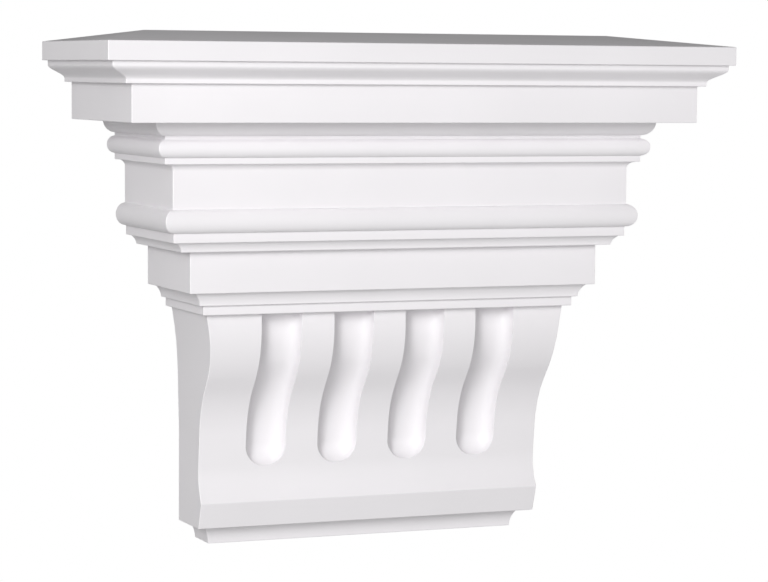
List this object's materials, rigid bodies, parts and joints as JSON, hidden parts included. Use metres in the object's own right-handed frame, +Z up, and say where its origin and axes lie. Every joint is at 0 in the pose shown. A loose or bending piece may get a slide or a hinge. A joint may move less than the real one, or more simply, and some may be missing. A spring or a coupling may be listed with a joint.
{
  "type": "moulded wall corbel",
  "caption": "Wide wall corbel: stacked mitred mouldings under a low hipped top, over a tapering S-curved body with four round-footed flutes and a small hollow base moulding.",
  "frame": {"origin": "middle of the flat back: on the corbel's centre line, halfway between the underside of the base and the top edge of the slab", "axes": "+Y points into the wall and the front looks along -Y, +X is to the right when facing the front, +Z is up"},
  "size_m": [0.4, 0.1373, 0.3146],
  "materials": {
    "white_primer": "smooth white factory primer with a slight satin sheen"
  },
  "bodies": {
    "root": {"corbel": "white_primer"}
  },
  "joints": []
}
